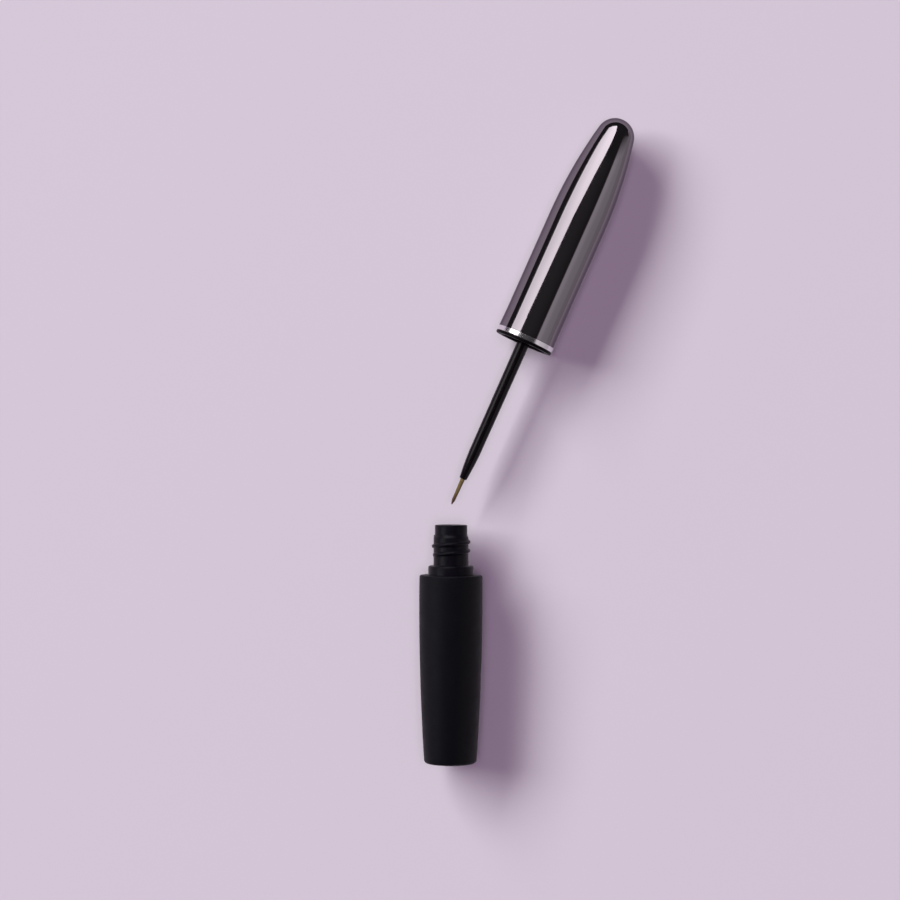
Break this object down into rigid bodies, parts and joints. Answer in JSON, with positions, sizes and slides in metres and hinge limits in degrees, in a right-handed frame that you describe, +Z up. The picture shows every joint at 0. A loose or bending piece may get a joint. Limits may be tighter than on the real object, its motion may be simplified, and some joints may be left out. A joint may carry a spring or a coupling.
{
  "type": "liquid eyeliner pen",
  "caption": "Open liquid eyeliner laid flat: black bottle with threaded neck and wiper, and a metal bullet cap with wand and fine brush lying beyond its mouth.",
  "frame": {"origin": "bottom centre of the object's box, on the surface that the open pen lies on", "axes": "+Y along the lying bottle from its base to its mouth, +X toward the side to which the cap points, +Z up"},
  "size_m": [0.0584, 0.1764, 0.0173],
  "materials": {
    "sleeve_black": "soft-touch matte",
    "vial_black": "satin moulded",
    "wiper_soft": "soft matte",
    "fluid_black": "wet gloss",
    "ball_steel": "polished",
    "cap_gunmetal": "mirror-polished gunmetal",
    "liner_black": "satin moulded",
    "washer_foam": "matte foam",
    "wand_black": "gloss",
    "bristle_brown": "fine filament"
  },
  "bodies": {
    "bottle": {"outer_sleeve": "sleeve_black", "vial": "vial_black", "rod_wiper": "wiper_soft", "eyeliner_fluid": "fluid_black"},
    "mixing_ball": {"mixing_ball": "ball_steel"},
    "seal_washer": {"seal_washer": "washer_foam"},
    "applicator": {"cap_shell": "cap_gunmetal", "cap_liner": "liner_black", "wand": "wand_black", "bristle_tuft": "bristle_brown"}
  },
  "joints": [
    {"name": "applicator_draw", "type": "slide", "parent": "bottle", "child": "seal_washer", "axis": [0.4035, 0.915, 0], "range_m": [-0.005, 0.06]},
    {"name": "applicator_turn", "type": "hinge", "parent": "seal_washer", "child": "applicator", "pos_m": [-0.02047, -0.01768, 0.00812], "axis": [0.4035, 0.915, 0], "continuous": true},
    {"name": "ball_roll", "type": "slide", "parent": "bottle", "child": "mixing_ball", "axis": [0, 1, 0], "range_m": [-0.003, 0.04138]}
  ]
}
